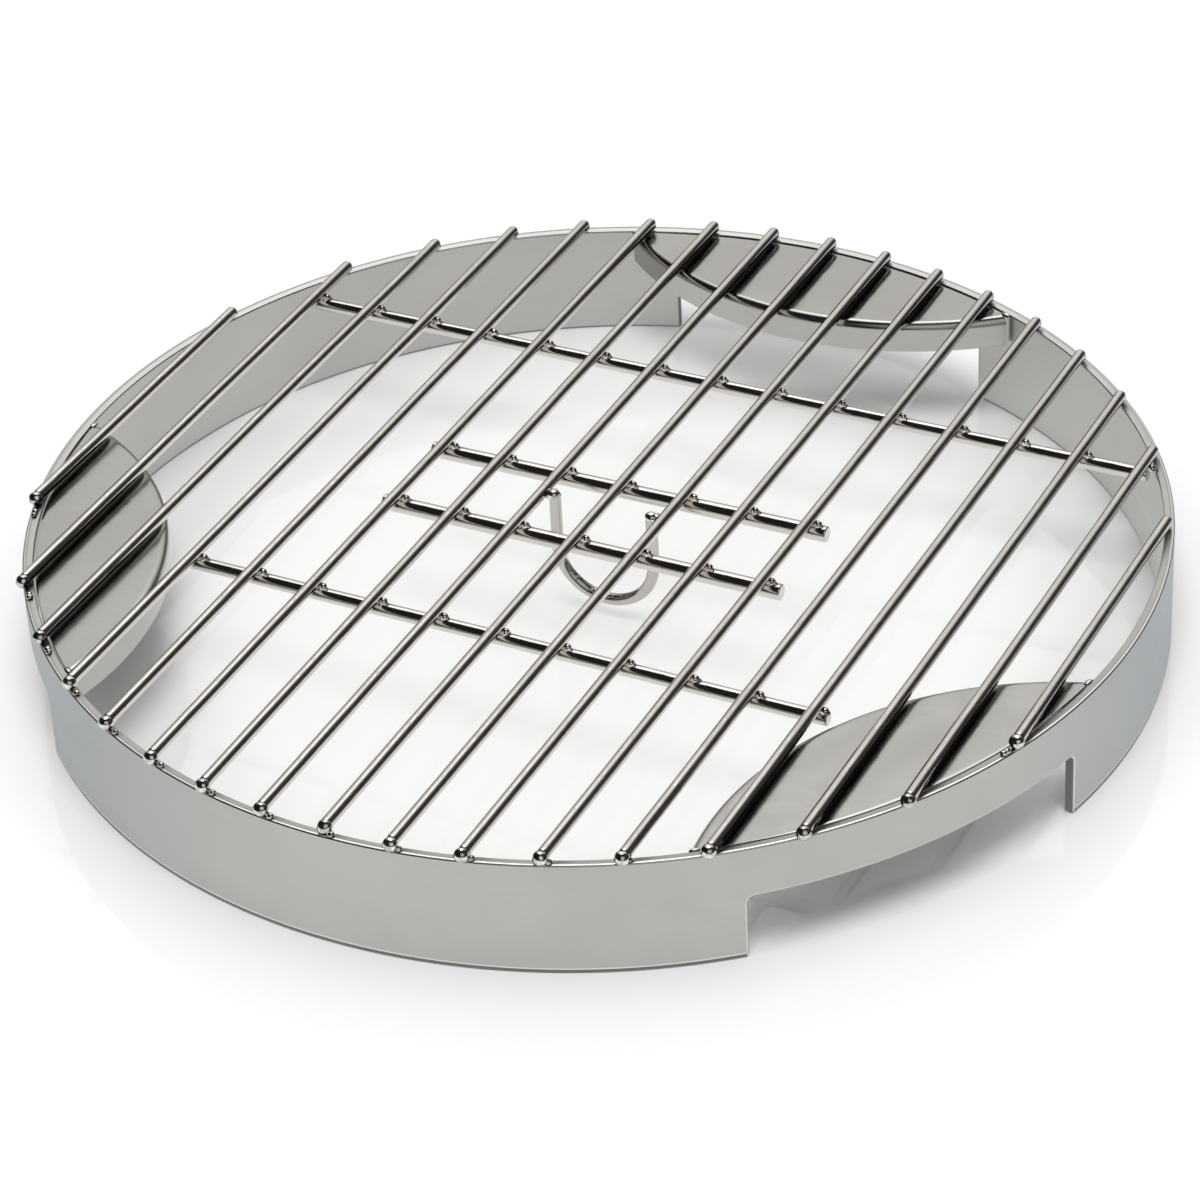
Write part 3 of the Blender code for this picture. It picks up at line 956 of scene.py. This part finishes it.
class GRATE_OT_shelves(bpy.types.Operator):
    """The three dished shelves over the notches"""
    bl_idname = "grate.shelves"
    bl_label = "Shelves"

    def execute(self, context):
        sizes = context.scene.grate_sizes
        for number, (node, direction) in enumerate(zip(SHELVES, notch_directions(sizes)), 1):
            pan = shelf_mesh(sizes, direction)
            new_piece(f"dished_shelf_{number}", pan, shelf_metal(), [node])
        return {"FINISHED"}


class GRATE_OT_loop(bpy.types.Operator):
    """The wire loop for a lifting hook"""
    bl_idname = "grate.loop"
    bl_label = "Lifting loop"

    def execute(self, context):
        low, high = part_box("lifting_loop")
        wire = loop_mesh(low, high, context.scene.grate_sizes.wire_sides)
        metal = wire_metal("plated loop wire", (900.0, 900.0, 60.0), gloss=0.5, tone=0.82)
        new_piece("wire_loop", wire, metal, ["lifting_loop"])
        return {"FINISHED"}


class GRATE_OT_rim_welds(bpy.types.Operator):
    """Weld nuggets between the rod ends and the band's top edge"""
    bl_idname = "grate.rim_welds"
    bl_label = "Rim welds"

    def execute(self, context):
        size = context.scene.grate_sizes.nugget
        for end, at_far in (("near", False), ("far", True)):
            draw = random.Random(f"rim {end}")
            lobes = []
            for number, node in enumerate(TOP_RODS, 1):
                near, far, radius = rod_ends(number, node)
                lobes += self.one_end(draw, far if at_far else near, radius, at_far, size, number)
            nuggets(f"welds_{end}_rim", lobes)
        return {"FINISHED"}

    def one_end(self, draw, tip, radius, at_far, size, number):
        """Lobes of the ball round one rod end and of the beads beside it on the band's top edge."""
        seed = number + (50 if at_far else 0)
        ball = Vector((tip.x + draw.uniform(-0.1, 0.1) * MM, tip.y - 1.75 * MM, tip.z - 0.3 * MM))
        extent = Vector((1.9 * MM, 1.75 * MM, 1.75 * MM))
        if not at_far:
            extent = Vector((2.15 * MM, 2.1 * MM, 2.0 * MM))
            ball.y = max(tip.y + 1.3 * MM, -RING_RADIUS + extent.y)
        lobes = [(ball, extent, seed, 0.0)]

        # Near ends have their beads on the right, the last one on the left, and far ends on the left
        last = number == len(TOP_RODS)
        lone_bead = at_far or (number > 3 and not last)
        turn = -1 if last and not at_far else 1
        ring, start = INNER_RADIUS + 1.7 * MM, math.atan2(tip.y, tip.x)
        # Toward the ring's left side they lie further from the rods
        reach = radius + (0.5 + 9.0 * max(0.0, -tip.x)) * MM
        for bead in range(1 if lone_bead else 2):
            along = reach + bead * 1.5 * MM + draw.uniform(-0.2, 0.2) * MM
            angle = start + turn * along / ring
            spot = Vector((ring * math.cos(angle), ring * math.sin(angle), BAND_HEIGHT + 0.3 * MM))
            scale = size * draw.uniform(0.75, 0.9) * (0.8 if at_far else 1.0)
            lobes.append((spot, Vector((scale, scale, scale * 0.8)), seed + 0.3 * (bead + 1), 0.0))
        return lobes


class GRATE_OT_crossing_welds(bpy.types.Operator):
    """Weld nuggets where the top rods cross the cross rods"""
    bl_idname = "grate.crossing_welds"
    bl_label = "Crossing welds"

    def execute(self, context):
        size = context.scene.grate_sizes.nugget
        for node in CROSS_RODS:
            left, right, bar_radius = rod_axis(node, 0)
            draw = random.Random(node)
            lobes = []
            for number, rod_node in enumerate(TOP_RODS, 1):
                near, far, rod_radius = rod_axis(rod_node, 1)
                share = (near.x - left.x) / (right.x - left.x)
                if not 0.0 < share < 1.0:
                    continue
                crossing = left.lerp(right, share)
                crossing.z += bar_radius
                first = crossing + Vector((
                    rod_radius + draw.uniform(0.2, 0.5) * MM, draw.uniform(-0.2, 0.2) * MM, 0.45 * MM))
                second = first + Vector((
                    draw.uniform(0.9, 1.2) * MM, draw.uniform(-0.3, 0.3) * MM, -0.45 * MM))
                under = crossing + Vector((0.0, 0.0, 0.15 * MM))
                lobes += [
                    (first, Vector((size, size * 1.05, size * 0.95)), number, draw.uniform(-0.4, 0.4)),
                    (second, Vector((size * 0.55, size * 0.6, size * 0.5)), number + 0.4, 0.0),
                    (under, Vector((1.4 * MM, 1.4 * MM, 0.7 * MM)), number + 0.7, 0.0),
                ]
            nuggets("welds_" + node.replace("cross_rod_", "cross_"), lobes)
        return {"FINISHED"}


class GRATE_OT_loop_welds(bpy.types.Operator):
    """Weld nuggets between the loop's legs and the rods beside them"""
    bl_idname = "grate.loop_welds"
    bl_label = "Loop welds"

    def execute(self, context):
        low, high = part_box("lifting_loop")
        radius = (high.y - low.y) / 2
        y = (low.y + high.y) / 2
        lobes = []
        for side in (-1, 1):
            x = high.x - radius if side > 0 else low.x + radius
            beside = Vector((x + side * radius, y, high.z - 0.9 * MM))
            crown = Vector((x + side * 0.2 * MM, y - 0.5 * MM, high.z - 0.2 * MM))
            lobes += [
                (beside, Vector((1.6 * MM, 1.9 * MM, 1.6 * MM)), 3.0 + side, 0.3),
                (crown, Vector((1.9 * MM, 1.8 * MM, 1.3 * MM)), 5.0 + side, -0.3),
            ]
        nuggets("welds_loop", lobes)
        return {"FINISHED"}


class GRATE_OT_shelf_welds(bpy.types.Operator):
    """Weld nuggets between the shelves' corners and the band"""
    bl_idname = "grate.shelf_welds"
    bl_label = "Shelf welds"

    def execute(self, context):
        sizes = context.scene.grate_sizes
        rim, away = sizes.shelf_radius, bulge_middle(sizes)
        corner = math.acos((away ** 2 + SHELF_LIMIT ** 2 - rim ** 2) / (2 * away * SHELF_LIMIT))
        height = SHELF_TOP + sizes.shelf_rise - 0.3 * MM
        lobes = []
        for index, direction in enumerate(notch_directions(sizes)):
            for side in (-1, 1):
                angle = direction + side * (corner - 0.012)
                spot = Vector((SHELF_LIMIT * math.cos(angle), SHELF_LIMIT * math.sin(angle), height))
                lobes.append((spot, Vector((1.1 * MM, 1.9 * MM, 0.9 * MM)), index + side * 0.3, angle))
        nuggets("welds_shelves", lobes)
        return {"FINISHED"}


OPERATORS = (
    GRATE_OT_stage, GRATE_OT_band, GRATE_OT_top_rods, GRATE_OT_cross_rods, GRATE_OT_shelves,
    GRATE_OT_loop, GRATE_OT_rim_welds, GRATE_OT_crossing_welds, GRATE_OT_loop_welds,
    GRATE_OT_shelf_welds,
)


class GRATE_PT_sidebar(bpy.types.Panel):
    """Buttons and sizes of the grate"""
    bl_label = "Grill grate"
    bl_idname = "GRATE_PT_sidebar"
    bl_space_type = "VIEW_3D"
    bl_region_type = "UI"
    bl_category = "Grate"

    def draw(self, context):
        scene = context.scene
        for operator in OPERATORS:
            self.layout.operator(operator.bl_idname)
        for settings in (scene.grate_sizes, scene.grate_finish, scene.grate_studio):
            box = self.layout.box()
            for name in settings.__annotations__:
                box.prop(settings, name)


CLASSES = (GrateSizes, GrateFinish, GrateStudio, *OPERATORS, GRATE_PT_sidebar)


def register():
    """Register the classes and hang the settings on the scene."""
    for each in CLASSES:
        bpy.utils.register_class(each)
    bpy.types.Scene.grate_sizes = PointerProperty(type=GrateSizes)
    bpy.types.Scene.grate_finish = PointerProperty(type=GrateFinish)
    bpy.types.Scene.grate_studio = PointerProperty(type=GrateStudio)


def unregister():
    """Take the settings off the scene and unregister the classes."""
    del bpy.types.Scene.grate_studio
    del bpy.types.Scene.grate_finish
    del bpy.types.Scene.grate_sizes
    for each in reversed(CLASSES):
        bpy.utils.unregister_class(each)


def main():
    """Build everything in order."""
    register()
    for operator in OPERATORS:
        group, name = operator.bl_idname.split(".")
        getattr(getattr(bpy.ops, group), name)()


if __name__ == "__main__":
    main()
